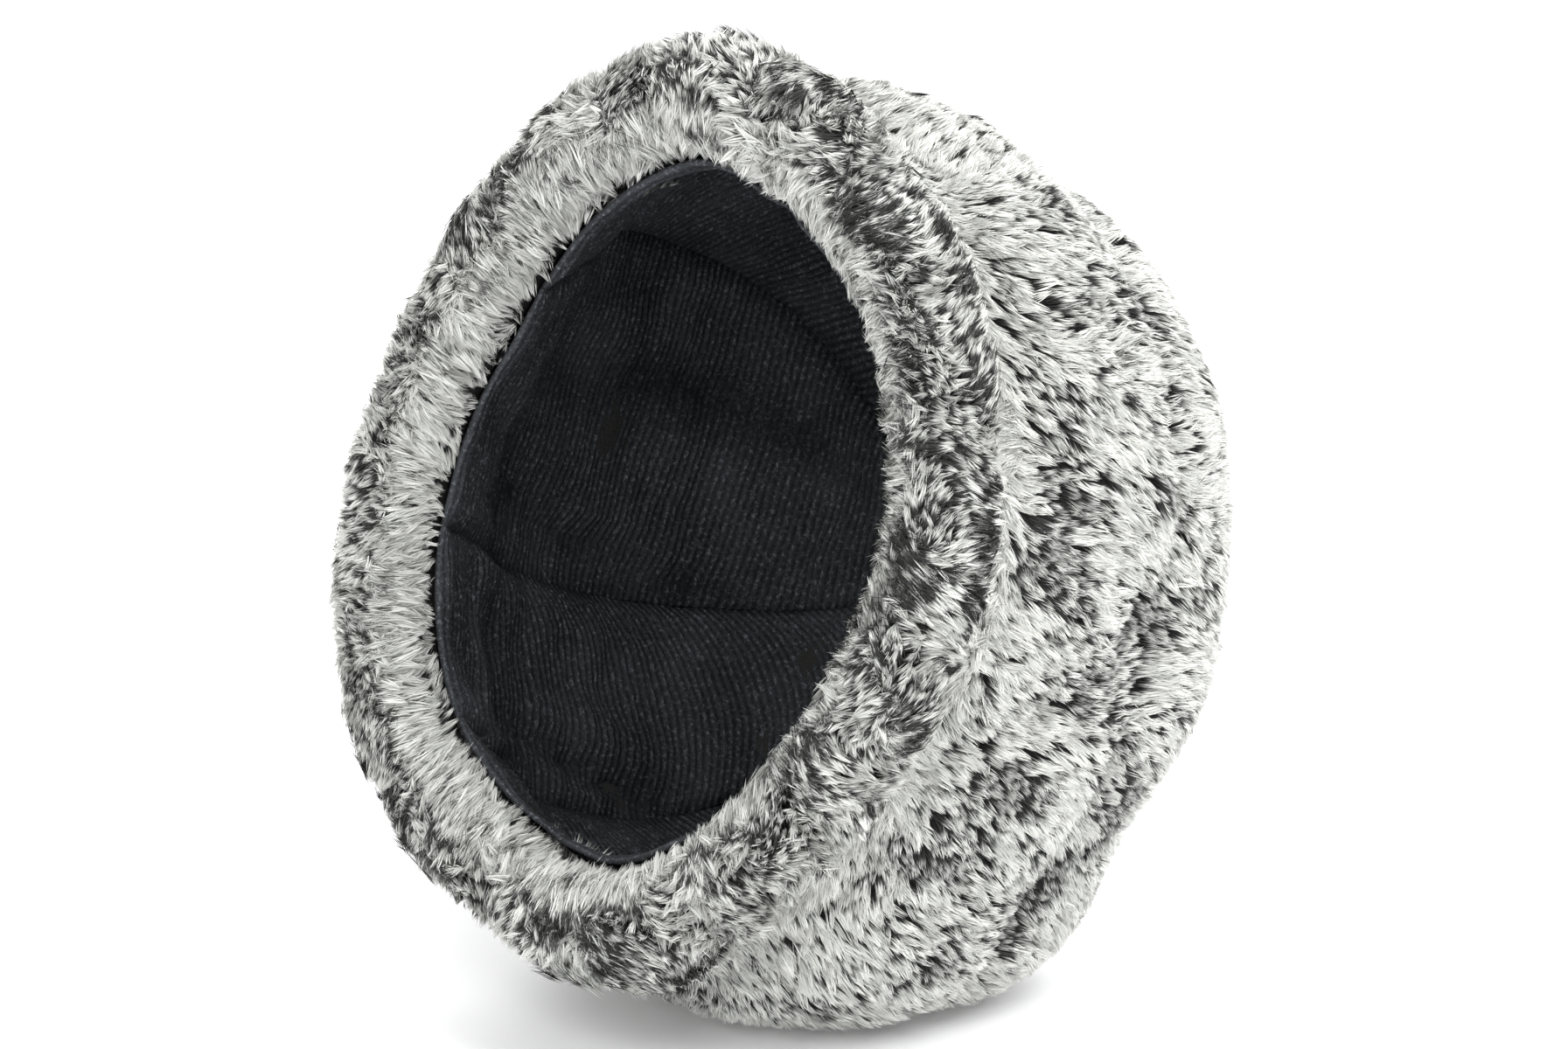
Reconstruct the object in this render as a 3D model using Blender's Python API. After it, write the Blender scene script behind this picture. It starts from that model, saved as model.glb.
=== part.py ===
"""A fake-fur hat that lies on its side, with its opening turned to the front and a little up.

The hat is a rolled fur cuff, a fur crown made of a side band and a top panel, and a knitted lining
of six gores. Its own axis runs from the opening, at depth 0, to the crown's end. Round that axis an
angle of 0 degrees is the hat's +X side, and 90 degrees is its upper side. Lengths are in metres.
"""
import math
from collections import namedtuple

import bmesh
import bpy
import numpy as np
from mathutils import Vector, noise

# Driving sizes
OPENING_TILT = math.radians(16.0)   # how far the opening looks up
RIM_RADIUS = 0.104                  # mean radius of the cuff's centre line
CUFF_RADIUS = 0.017                 # half the roll's thickness, out to the tips of its locks
CUFF_SEAT_DEPTH = 0.031             # the roll's flat back, where the crown is sewn on
CROWN_RADIUS = 0.119                # half the crown's width, out to the tips of its locks
CROWN_DEPTH = 0.174                 # from the front of the cuff to the crown's end
SEAM_DEPTH = 0.100                  # where the side band meets the top panel
CUFF_PILE = 0.005                   # how far the cuff's locks stand over their backing
CROWN_PILE = 0.004                  # the same on the crown
CROWN_WALL = 0.0115                 # from the locks' tips to the inside of the crown's backing
LINING_WALL = 0.0015                # the brushed knit
LINING_FRONT_DEPTH = 0.0155         # the lining's edge, which is sewn just behind the cuff's lip
FLARE_DEPTH = 0.055                 # where the hollow has widened from the cuff to the crown
PRESSED = 0.0135                    # how much of the crown's underside is pressed flat
SEWN_GAP = 0.0003                   # what pieces that are sewn together stay apart
LINING_GAP = 0.0006                 # the loose lining's distance from the crown
SEAM_GROOVE = 0.003                 # how far the fur sinks along the crown's seam
SEAM_GROOVE_WIDTH = 0.006
LUMP = 0.0016                       # the gentle unevenness of the stuffed fur
LUMP_LENGTH = 0.034
CUFF_LUMPS = 3.0                    # how many lumps the cuff has in one radian, about
GORE_TIP_RADIUS = 0.003             # where the gores' tips are gathered
LOCK_CLEARANCE = 0.012              # locks grow shorter this close to the floor
LOCK_WAVE = 0.019                   # how soon the locks change from one to the next
LOCK_UNEVENNESS = 0.9               # how much their heights differ
LOCK_SWAY = 0.30                    # how much their directions differ, as a share of their base
WAVE_SHIFT = 7.3                    # keeps one wave apart from the next, in wave lengths
SHORTEST_LOCK = 0.5                 # the share of their height below which none are raised
CUFF_SWEEP = (0.05, 0.0)            # which way the locks lie, along and round the piece
CROWN_SWEEP = (0.18, -0.05)

# How finely the forms are divided
COLUMNS_PER_GORE = 10
SIDE_ROWS = 6
TOP_LOCK_ROWS = 4
CUFF_FUR_COLUMNS = 8
CUFF_BACK_COLUMNS = 4
FUR_TURN = (math.radians(-35.0), math.radians(163.0))   # the stretch of the roll that has locks

# How finely the forms are read where a place on them is looked up
DEPTH_STEPS = 400
LENGTH_STEPS = 200
FLOOR_STEPS = 60
FLOOR_ANGLE_STEP = 3                # in degrees

# The cuff's outline: an angle in degrees, the radius of the roll's centre line as a share of
# RIM_RADIUS, and the roll's half thickness as a share of CUFF_RADIUS
Rim = namedtuple("Rim", "angle radius thickness")
RIM_FORM = [
    Rim(0, 0.952, 0.84), Rim(30, 0.967, 0.84), Rim(45, 0.981, 0.88), Rim(65, 1.005, 0.93),
    Rim(80, 1.038, 1.00), Rim(91, 1.072, 1.04), Rim(105, 1.025, 1.06), Rim(120, 0.952, 1.06),
    Rim(133, 0.890, 1.06), Rim(147, 0.845, 1.06), Rim(166, 0.845, 1.04), Rim(185, 0.870, 1.04),
    Rim(201, 0.914, 1.04), Rim(218, 0.964, 1.04), Rim(230, 0.990, 1.00), Rim(243, 1.010, 0.97),
    Rim(257, 1.029, 0.97), Rim(267, 1.058, 1.00), Rim(281, 1.077, 1.00), Rim(290, 1.043, 0.97),
    Rim(300, 1.000, 0.92), Rim(311, 0.957, 0.88), Rim(326, 0.928, 0.86), Rim(345, 0.933, 0.84),
]

# The crown's sections: depth as a share of CROWN_DEPTH, then, as shares of CROWN_RADIUS, how far
# the section's middle leans to +X and sinks, and its reach from there to the near side, the far
# side, up and down. The last column is how far the section still follows the cuff's outline.
Section = namedtuple("Section", "depth lean sink near far rise fall follow")
CROWN_SECTIONS = [
    Section(0.160, 0.000, 0.000, 0.866, 0.866, 1.000, 0.983, 1.00),
    Section(0.218, 0.000, 0.010, 0.899, 0.891, 1.032, 1.012, 0.80),
    Section(0.316, 0.010, 0.030, 0.940, 0.934, 1.100, 1.100, 0.50),
    Section(0.460, 0.025, 0.055, 0.967, 0.958, 1.116, 1.116, 0.25),
    Section(0.615, 0.040, 0.080, 0.960, 0.948, 1.076, 1.086, 0.10),
    Section(0.759, 0.050, 0.090, 0.905, 0.899, 0.992, 1.010, 0.00),
    Section(0.856, 0.050, 0.095, 0.807, 0.806, 0.880, 0.880, 0.00),
    Section(0.931, 0.050, 0.100, 0.644, 0.655, 0.725, 0.670, 0.00),
    Section(0.973, 0.050, 0.105, 0.440, 0.455, 0.520, 0.415, 0.00),
    Section(0.994, 0.050, 0.110, 0.210, 0.210, 0.240, 0.190, 0.00),
    Section(1.000, 0.050, 0.110, 0.000, 0.000, 0.000, 0.000, 0.00),
]
UPPER_SQUARENESS = 2.3              # the exponent of the section's upper half
LOWER_SQUARENESS = 1.85             # and of its lower half, which is more pointed at the sides

# Dents in the crown's fur, and bulges where the depth is negative. Each runs between two places, an
# angle in degrees and a share of CROWN_DEPTH. Width is a share of CROWN_RADIUS, and so is depth.
Dent = namedtuple("Dent", "angle_a along_a angle_b along_b width depth")
CROWN_DENTS = [
    Dent(4, 0.540, 356, 0.500, 0.060, 0.045),
    Dent(356, 0.500, 344, 0.390, 0.055, 0.042),
    Dent(344, 0.390, 334, 0.270, 0.060, 0.034),
    Dent(358, 0.600, 350, 0.580, 0.090, 0.025),
    Dent(20, 0.330, 8, 0.300, 0.080, 0.022),
    Dent(40, 0.450, 56, 0.520, 0.120, 0.020),
    Dent(318, 0.620, 328, 0.900, 0.230, 0.060),
    Dent(298, 0.400, 308, 0.740, 0.300, -0.085),
    Dent(150, 0.420, 168, 0.560, 0.090, 0.035),
    Dent(205, 0.330, 196, 0.520, 0.080, 0.035),
    Dent(118, 0.700, 80, 0.740, 0.100, 0.030),
    Dent(240, 0.880, 200, 0.930, 0.090, 0.030),
]

# The lining's seams, in degrees, and its slack folds, which stand into the hollow. A fold runs
# between two places, an angle in degrees and a share of CROWN_DEPTH. Width and rise are shares of
# RIM_RADIUS.
LINING_SEAMS = (5.0, 70.0, 134.0, 193.0, 231.0, 298.0)
Fold = namedtuple("Fold", "angle_a along_a angle_b along_b width rise")
LINING_FOLDS = [
    Fold(197, 0.300, 203, 0.840, 0.130, 0.045),
    Fold(178, 0.480, 186, 0.820, 0.110, 0.034),
    Fold(217, 0.480, 221, 0.800, 0.100, 0.040),
    Fold(240, 0.440, 246, 0.780, 0.110, 0.038),
    Fold(150, 0.420, 158, 0.760, 0.170, 0.030),
    Fold(96, 0.440, 112, 0.760, 0.200, 0.036),
    Fold(40, 0.480, 46, 0.760, 0.170, 0.030),
    Fold(330, 0.460, 322, 0.740, 0.150, 0.030),
    Fold(272, 0.500, 268, 0.780, 0.140, 0.024),
]

# Where the rings of the top panel lie, as shares of the way from the seam to the crown's end
TOP_STEPS = (0.13, 0.28, 0.43, 0.58, 0.73, 0.88)
# Where the rings of the lining lie inside the cuff, as shares of the way from its edge to the seat
LIP_STEPS = (0.0, 0.36, 1.0)

CENTRE_SHARE = 0.4                  # a point well inside the hollow, as a share of CROWN_DEPTH
SMALL_STEP = 1e-3                   # the step of the slopes that the normals come from


def curve(places, values, x):
    """A smooth curve through a table of places and values."""
    places = np.asarray(places, float)
    values = np.asarray(values, float)
    slopes = np.gradient(values, places)
    i = int(np.clip(np.searchsorted(places, x) - 1, 0, len(places) - 2))
    length = places[i + 1] - places[i]
    t = (x - places[i]) / length
    return ((1 + 2 * t) * (1 - t) ** 2 * values[i] + t * (1 - t) ** 2 * length * slopes[i]
            + t * t * (3 - 2 * t) * values[i + 1] + t * t * (t - 1) * length * slopes[i + 1])


def smooth_step(x):
    x = min(max(x, 0.0), 1.0)
    return x * x * (3 - 2 * x)


RIM_ANGLES = [r.angle + turn for turn in (-360, 0, 360) for r in RIM_FORM]
RIM_SHARES = [r.radius for r in RIM_FORM] * 3
ROLL_SHARES = [r.thickness for r in RIM_FORM] * 3


def rim_radius(angle):
    """The radius of the cuff's centre line at an angle in radians."""
    return RIM_RADIUS * curve(RIM_ANGLES, RIM_SHARES, math.degrees(angle) % 360)


def roll_radius(angle):
    """Half the roll's thickness at an angle in radians."""
    return CUFF_RADIUS * curve(RIM_ANGLES, ROLL_SHARES, math.degrees(angle) % 360)


def section(u):
    """The crown's section at a place u in its table, where whole numbers are the table's rows."""
    rows = range(len(CROWN_SECTIONS))
    return Section(*(curve(rows, [getattr(s, name) for s in CROWN_SECTIONS], u)
                     for name in Section._fields))


def crown_form(u, angle):
    """A point on the tips of the crown's fur, as x, height and depth along the hat's own axes."""
    s = section(u)
    c, h = math.cos(angle), math.sin(angle)
    width = s.near if c >= 0 else s.far
    reach = s.rise if h >= 0 else s.fall
    n = UPPER_SQUARENESS if h >= 0 else LOWER_SQUARENESS
    if width <= 0:
        radius = 0.0
    else:
        oval = 1 / ((abs(c) / width) ** n + (abs(h) / reach) ** n) ** (1 / n)
        like_rim = rim_radius(angle) / RIM_RADIUS * (s.near + s.far + s.rise + s.fall) / 4
        radius = CROWN_RADIUS * (s.follow * like_rim + (1 - s.follow) * oval)
    x = radius * c + CROWN_RADIUS * s.lean
    height = radius * h - CROWN_RADIUS * s.sink
    return Vector((x, height, CROWN_DEPTH * s.depth))


def crown_normal(u, angle):
    """The direction that the crown's fur faces."""
    if u >= LAST_U - SMALL_STEP:
        return Vector((0, 0, 1))
    back = max(u - SMALL_STEP, 0.0)
    along = crown_form(u + SMALL_STEP, angle) - crown_form(back, angle)
    round_it = crown_form(u, angle + SMALL_STEP) - crown_form(u, angle - SMALL_STEP)
    normal = round_it.cross(along).normalized()
    outward = crown_form(u, angle) - Vector((0, 0, CENTRE_SHARE * CROWN_DEPTH))
    return normal if normal.dot(outward) > 0 else -normal


def place_at_depth(depth):
    """The place u in the crown's table that lies at a depth."""
    steps = np.linspace(0, LAST_U, DEPTH_STEPS)
    depths = [CROWN_DEPTH * section(u).depth for u in steps]
    return float(np.interp(depth, depths, steps))


def dent_depth(table, unit, angle, depth):
    """How deep the dents or folds of a table are at an angle and a depth."""
    total = 0.0
    for d in table:
        start = Vector((0.0, d.along_a * CROWN_DEPTH))
        turn = (d.angle_b - d.angle_a + 180) % 360 - 180
        end = Vector((math.radians(turn) * unit, d.along_b * CROWN_DEPTH))
        away = (math.degrees(angle) - d.angle_a + 180) % 360 - 180
        point = Vector((math.radians(away) * unit, depth))
        line = end - start
        t = min(max((point - start).dot(line) / line.length_squared, 0.0), 1.0)
        distance = (point - start - t * line).length
        total += d[-1] * unit * math.exp(-(distance / (d.width * unit)) ** 2)
    return total


def shell_point(u, angle, inset, dented=True):
    """A point of the crown, at a distance inside the tips of its fur."""
    point = crown_form(u, angle)
    if dented:
        inset = inset + dent_depth(CROWN_DENTS, CROWN_RADIUS, angle, point.z)
        inset += LUMP * noise.noise(point / LUMP_LENGTH)
        inset += SEAM_GROOVE * math.exp(-((point.z - SEAM_DEPTH) / SEAM_GROOVE_WIDTH) ** 2)
    return point - inset * crown_normal(u, angle)


def lip_point(depth, angle, inset):
    """A point of the straight stretch of the hollow, inside the cuff."""
    radius = rim_radius(angle) - roll_radius(angle) - SEWN_GAP - inset
    return Vector((radius * math.cos(angle), radius * math.sin(angle), depth))


def hollow_point(u, angle, inset):
    """A point of the hollow that the lining hangs in, widening from the cuff into the crown."""
    depth = CROWN_DEPTH * section(u).depth
    wide = smooth_step((depth - CROWN_FRONT) / (FLARE_DEPTH - CROWN_FRONT))
    shell = shell_point(u, angle, CROWN_WALL + LINING_GAP + inset, dented=False)
    return lip_point(depth, angle, inset).lerp(shell, wide)


def as_it_lies(point, floor):
    """A point along the hat's own axes, turned to how the hat lies and kept above a level."""
    x, height, depth = point
    y = depth * math.cos(OPENING_TILT) + height * math.sin(OPENING_TILT)
    z = height * math.cos(OPENING_TILT) - depth * math.sin(OPENING_TILT)
    return Vector((x, y, max(z, floor)))


LAST_U = len(CROWN_SECTIONS) - 1.0
CROWN_FRONT = CUFF_SEAT_DEPTH + SEWN_GAP
ANGLES = [math.radians(a) for a in range(0, 360, FLOOR_ANGLE_STEP)]
DOWN_THE_CROWN = np.linspace(0, LAST_U, FLOOR_STEPS)
NO_FLOOR = -math.inf
LOWEST = min(as_it_lies(crown_form(u, a), NO_FLOOR).z for u in DOWN_THE_CROWN for a in ANGLES)
FLOOR = LOWEST + PRESSED
INNER_FLOOR = FLOOR + CROWN_WALL - CROWN_PILE


def gore_angles(number):
    """The angles of one gore's columns, in radians."""
    start = LINING_SEAMS[number]
    end = LINING_SEAMS[(number + 1) % len(LINING_SEAMS)]
    width = (end - start) % 360
    steps = range(COLUMNS_PER_GORE + 1)
    return [math.radians(start + width * i / COLUMNS_PER_GORE) for i in steps]


AROUND = [a for number in range(len(LINING_SEAMS)) for a in gore_angles(number)[:-1]]


def side_places():
    """The places of the side band's rings, from the cuff's flat back to the seam."""
    depths = np.linspace(CROWN_FRONT, SEAM_DEPTH - SEWN_GAP / 2, SIDE_ROWS + 1)
    return [place_at_depth(d) for d in depths]


def top_places():
    """The places of the top panel's rings, evenly spaced over it from the seam to its middle."""
    first = place_at_depth(SEAM_DEPTH + SEWN_GAP / 2)
    steps = np.linspace(first, LAST_U, LENGTH_STEPS)
    points = [crown_form(u, 0.0) for u in steps]
    lengths = np.concatenate(([0.0], np.cumsum([(b - a).length for a, b in zip(points, points[1:])])))
    wanted = [0.0] + [share * lengths[-1] for share in TOP_STEPS]
    wanted.append(lengths[-1] - GORE_TIP_RADIUS)
    return [float(np.interp(w, lengths, steps)) for w in wanted]


def ring_sheet(bm, rows, closed=True):
    """Rows of points joined by triangles that all lean the same way. Returns vertices and quads."""
    grid = [[bm.verts.new(p) for p in row] for row in rows]
    count = len(rows[0])
    quads = []
    for lower, upper in zip(grid, grid[1:]):
        for i in range(count if closed else count - 1):
            j = (i + 1) % count
            quads.append(bm.faces.new((lower[i], lower[j], upper[j], upper[i])))
    return grid, quads


def strip(bm, one, other, closed=True):
    """A band of faces between two rows of vertices, such as the edge of a wall."""
    count = len(one)
    for i in range(count if closed else count - 1):
        j = (i + 1) % count
        bm.faces.new((one[i], one[j], other[j], other[i]))


def wave_at(point, number):
    """A smooth wave over space, different for each number."""
    return noise.noise(point / LOCK_WAVE + Vector((0.0, 0.0, WAVE_SHIFT * number)))


def grow_locks(bm, quads, pile, sweep, key):
    """Raises a lock of fur on each quad: its middle is drawn out and swept to one side."""
    bm.normal_update()
    for quad in quads:
        middle = quad.calc_center_median()
        normal = quad.normal.copy()
        clear = min(max((middle.z - FLOOR) / LOCK_CLEARANCE, 0.0), 1.0)
        if clear < SHORTEST_LOCK:
            continue
        along = (quad.verts[3].co - quad.verts[0].co + quad.verts[2].co - quad.verts[1].co) / 2
        across = (quad.verts[1].co - quad.verts[0].co + quad.verts[2].co - quad.verts[3].co) / 2
        height = pile * clear * (1.0 + LOCK_UNEVENNESS * wave_at(middle, key))
        tip = middle + normal * height
        tip += along * (sweep[0] + LOCK_SWAY * wave_at(middle, key + 1))
        tip += across * (sweep[1] + LOCK_SWAY * wave_at(middle, key + 2))
        tip.z = max(tip.z, FLOOR + SEWN_GAP)
        poked = bmesh.ops.poke(bm, faces=[quad])
        poked["verts"][0].co = tip


def finish(name, bm, material):
    """Makes one closed, outward facing object from the mesh that was built."""
    bmesh.ops.triangulate(bm, faces=bm.faces[:], quad_method="FIXED")
    bmesh.ops.recalc_face_normals(bm, faces=bm.faces[:])
    mesh = bpy.data.meshes.new(name)
    bm.to_mesh(mesh)
    bm.free()
    mesh.materials.append(material)
    obj = bpy.data.objects.new(name, mesh)
    bpy.context.scene.collection.objects.link(obj)
    return obj


CUFF_GREY = (0.46, 0.47, 0.45)
CROWN_GREY = (0.60, 0.61, 0.59)
KNIT_BLACK = (0.018, 0.019, 0.022)
FUR_ROUGHNESS = 0.95
KNIT_ROUGHNESS = 0.9


def make_material(name, colour, roughness):
    material = bpy.data.materials.new(name)
    material.use_nodes = True
    shader = material.node_tree.nodes["Principled BSDF"]
    shader.inputs["Base Color"].default_value = (*colour, 1.0)
    shader.inputs["Roughness"].default_value = roughness
    shader.inputs["Metallic"].default_value = 0.0
    return material


def make_cuff(material):
    """The rolled cuff: a ring with locks on its outside and a flat back for the crown."""
    first, last = FUR_TURN
    fur = [first + (last - first) * i / CUFF_FUR_COLUMNS for i in range(CUFF_FUR_COLUMNS + 1)]
    rest = 2 * math.pi - (last - first)
    turns = fur + [last + rest * i / CUFF_BACK_COLUMNS for i in range(1, CUFF_BACK_COLUMNS)]
    rows = []
    for turn in turns:
        furred = first < turn < last
        row = []
        for angle in AROUND:
            rho = roll_radius(angle)
            if furred:
                rho -= CUFF_PILE + LUMP * noise.noise(Vector((math.cos(angle), math.sin(angle), turn)) * CUFF_LUMPS)
            radius = rim_radius(angle) + rho * math.cos(turn)
            depth = min(CUFF_RADIUS - rho * math.sin(turn), CUFF_SEAT_DEPTH)
            point = Vector((radius * math.cos(angle), radius * math.sin(angle), depth))
            row.append(as_it_lies(point, FLOOR))
        rows.append(row)
    bm = bmesh.new()
    grid, quads = ring_sheet(bm, rows)
    strip(bm, grid[-1], grid[0])
    bmesh.ops.recalc_face_normals(bm, faces=bm.faces[:])
    grow_locks(bm, quads[:CUFF_FUR_COLUMNS * len(AROUND)], CUFF_PILE, CUFF_SWEEP, 0)
    return finish("cuff", bm, material)


def crown_rows(places, inset):
    return [[as_it_lies(shell_point(u, a, inset), FLOOR) for a in AROUND] for u in places]


def hollow_rows(places):
    """The inside of the crown's backing, which stays clear of the lining."""
    return [[as_it_lies(hollow_point(u, a, -LINING_GAP), INNER_FLOOR) for a in AROUND] for u in places]


def on_the_seat(row):
    """Moves the crown's front edge onto the plane just behind the cuff's flat back."""
    normal = as_it_lies(Vector((0, 0, 1)), NO_FLOOR)
    return [point + normal * (CROWN_FRONT - point.dot(normal)) for point in row]


def make_crown_side(material):
    places = side_places()
    outer, inner = crown_rows(places, CROWN_PILE), hollow_rows(places)
    outer[0], inner[0] = on_the_seat(outer[0]), on_the_seat(inner[0])
    bm = bmesh.new()
    outer_grid, quads = ring_sheet(bm, outer)
    inner_grid, _ = ring_sheet(bm, inner)
    strip(bm, outer_grid[0], inner_grid[0])
    strip(bm, outer_grid[-1], inner_grid[-1])
    bmesh.ops.recalc_face_normals(bm, faces=bm.faces[:])
    grow_locks(bm, quads, CROWN_PILE, CROWN_SWEEP, 3)
    return finish("crown_side", bm, material)


def close_middle(bm, row, point):
    tip = bm.verts.new(point)
    for i, vert in enumerate(row):
        bm.faces.new((vert, row[(i + 1) % len(row)], tip))


def make_crown_top(material):
    places = top_places()
    outer, inner = crown_rows(places, CROWN_PILE), hollow_rows(places)
    bm = bmesh.new()
    outer_grid, quads = ring_sheet(bm, outer)
    inner_grid, _ = ring_sheet(bm, inner)
    strip(bm, outer_grid[0], inner_grid[0])
    close_middle(bm, outer_grid[-1], as_it_lies(shell_point(LAST_U, 0.0, CROWN_PILE), FLOOR))
    close_middle(bm, inner_grid[-1], as_it_lies(hollow_point(LAST_U, 0.0, -LINING_GAP), INNER_FLOOR))
    bmesh.ops.recalc_face_normals(bm, faces=bm.faces[:])
    grow_locks(bm, quads[:TOP_LOCK_ROWS * len(AROUND)], CROWN_PILE, CROWN_SWEEP, 6)
    return finish("crown_top", bm, material)


def make_lining_gore(number, material):
    """One wedge of the knitted lining, from behind the cuff's lip to the gathered middle."""
    angles = gore_angles(number)
    lip_depths = [LINING_FRONT_DEPTH + (CROWN_FRONT - LINING_FRONT_DEPTH) * s for s in LIP_STEPS]
    places = side_places()[1:] + top_places()[1:]

    def wall(inset):
        """One side of the cloth, as rows of points."""
        rows = []
        for depth in lip_depths:
            rows.append([lip_point(depth, a, inset) for a in angles])
        for u in places:
            depth = CROWN_DEPTH * section(u).depth
            folds = [dent_depth(LINING_FOLDS, RIM_RADIUS, a, depth) for a in angles]
            if u == places[-1]:
                folds = [0.0] * len(angles)
            rows.append([hollow_point(u, a, inset + f) for a, f in zip(angles, folds)])
        for row in rows:
            for i, sign in ((0, 1), (-1, -1)):
                angle = angles[i]
                row[i] = row[i] + Vector((-math.sin(angle), math.cos(angle), 0)) * sign * SEWN_GAP / 2
        floor = INNER_FLOOR + LINING_GAP + inset
        return [[as_it_lies(p, floor) for p in row] for row in rows]

    bm = bmesh.new()
    outer_grid, _ = ring_sheet(bm, wall(0.0), closed=False)
    inner_grid, _ = ring_sheet(bm, wall(LINING_WALL), closed=False)
    strip(bm, outer_grid[0], inner_grid[0], closed=False)
    strip(bm, outer_grid[-1], inner_grid[-1], closed=False)
    for side in (0, -1):
        strip(bm, [row[side] for row in outer_grid], [row[side] for row in inner_grid], closed=False)
    return finish("lining_gore_%d" % (number + 1), bm, material)


def stand_at_origin(objects):
    """Moves the hat so that the origin lies on the floor, under the middle of its box."""
    points = [v.co for obj in objects for v in obj.data.vertices]
    low = Vector([min(p[k] for p in points) for k in range(3)])
    high = Vector([max(p[k] for p in points) for k in range(3)])
    shift = Vector(((low.x + high.x) / 2, (low.y + high.y) / 2, low.z))
    for obj in objects:
        for vertex in obj.data.vertices:
            vertex.co -= shift
    print("shift", tuple(round(s, 6) for s in shift), "size", tuple(round(s, 4) for s in high - low))


def main():
    for obj in list(bpy.data.objects):
        bpy.data.objects.remove(obj)
    cuff_fur = make_material("cuff_fur", CUFF_GREY, FUR_ROUGHNESS)
    crown_fur = make_material("crown_fur", CROWN_GREY, FUR_ROUGHNESS)
    knit = make_material("knit", KNIT_BLACK, KNIT_ROUGHNESS)
    pieces = [make_cuff(cuff_fur), make_crown_side(crown_fur), make_crown_top(crown_fur)]
    pieces += [make_lining_gore(number, knit) for number in range(len(LINING_SEAMS))]
    stand_at_origin(pieces)


main()
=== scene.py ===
# %% [markdown]
# # A fake-fur hat, lying on its side
#
# The real hat has three kinds of cloth. Its cuff and its crown are deep pile fur, dark at the roots
# and silver white at the tips, and its inside is a brushed black knit. The solids of the frame give
# the hat's form, and this file gives it hairs, ribs, seams and light. Lengths are in metres.

import math
from collections import namedtuple

import bpy
import numpy as np
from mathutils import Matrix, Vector
from mathutils.bvhtree import BVHTree


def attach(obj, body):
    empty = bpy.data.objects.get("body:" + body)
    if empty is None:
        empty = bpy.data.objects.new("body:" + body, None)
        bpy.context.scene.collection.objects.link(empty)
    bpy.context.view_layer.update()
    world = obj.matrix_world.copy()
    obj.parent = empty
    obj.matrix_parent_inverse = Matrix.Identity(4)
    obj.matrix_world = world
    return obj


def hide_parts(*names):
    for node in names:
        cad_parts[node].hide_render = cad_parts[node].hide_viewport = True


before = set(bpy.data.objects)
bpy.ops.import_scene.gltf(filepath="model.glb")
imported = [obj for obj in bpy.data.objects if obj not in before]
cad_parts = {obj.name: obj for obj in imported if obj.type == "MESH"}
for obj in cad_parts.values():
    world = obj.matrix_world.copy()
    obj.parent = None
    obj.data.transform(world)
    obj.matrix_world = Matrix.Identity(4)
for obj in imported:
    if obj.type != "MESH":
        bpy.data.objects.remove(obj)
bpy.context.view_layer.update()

# %% [markdown]
# ## The camera
#
# The photograph looks into the opening from the right, a little from above, through a long lens. The
# picture is 1793 by 1200 pixels. The lens is given by its focal length in pixels, and a small shift
# puts the hat where it is in the picture, so the camera can still look straight at its middle.

# %% Place the camera
PICTURE = (1793, 1200)
AZIMUTH = math.radians(42)
ELEVATION = math.radians(14)
DISTANCE = 1.2
FOCAL_PIXELS = 5000
SENSOR_WIDTH = 36.0                  # in millimetres, as Blender's lens is
AIM = Vector((-0.004, -0.012, 0.130))
MIDDLE_PIXEL = (862, 610)            # where the aim falls in the picture

back = Vector((math.sin(AZIMUTH) * math.cos(ELEVATION),
               -math.cos(AZIMUTH) * math.cos(ELEVATION),
               math.sin(ELEVATION)))
bpy.ops.object.camera_add(location=AIM + back * DISTANCE)
camera = bpy.context.object
camera.rotation_euler = back.to_track_quat("Z", "Y").to_euler()
camera.data.lens = FOCAL_PIXELS / PICTURE[0] * SENSOR_WIDTH
camera.data.sensor_width = SENSOR_WIDTH
camera.data.shift_x = (PICTURE[0] / 2 - MIDDLE_PIXEL[0]) / PICTURE[0]
camera.data.shift_y = (MIDDLE_PIXEL[1] - PICTURE[1] / 2) / PICTURE[0]
bpy.context.scene.camera = camera
print("camera at", tuple(round(v, 3) for v in camera.location), "lens", round(camera.data.lens, 1))

# %% [markdown]
# ## Sums written as shader nodes
#
# A material's noise, masks and mixes are easier to read as sums than as a web of nodes. `Signal` wraps
# one socket, and a plus, minus or times sign on it adds the Math node that does the same. `Recipe`
# holds one material, and its `add` makes any other node from its type, its settings and its inputs.

# %% Signals and recipes


class Signal:
    """A socket that can be added, subtracted and multiplied like a number."""

    def __init__(self, recipe, socket):
        self.recipe, self.socket = recipe, socket

    def sum(self, operation, first, second):
        return self.recipe.add("ShaderNodeMath", {"operation": operation}, {0: first, 1: second})

    def __add__(self, other):
        return self.sum("ADD", self, other)

    def __radd__(self, other):
        return self.sum("ADD", other, self)

    def __sub__(self, other):
        return self.sum("SUBTRACT", self, other)

    def __rsub__(self, other):
        return self.sum("SUBTRACT", other, self)

    def __mul__(self, other):
        return self.sum("MULTIPLY", self, other)

    def __rmul__(self, other):
        return self.sum("MULTIPLY", other, self)

    def clamped(self):
        return self.recipe.add("ShaderNodeClamp", {}, {"Value": self})

    def eased(self, start, end):
        """0 before start, 1 after end, and a soft step between them."""
        settings = {"interpolation_type": "SMOOTHSTEP"}
        values = {"Value": self, "From Min": start, "From Max": end}
        return self.recipe.add("ShaderNodeMapRange", settings, values)


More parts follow.
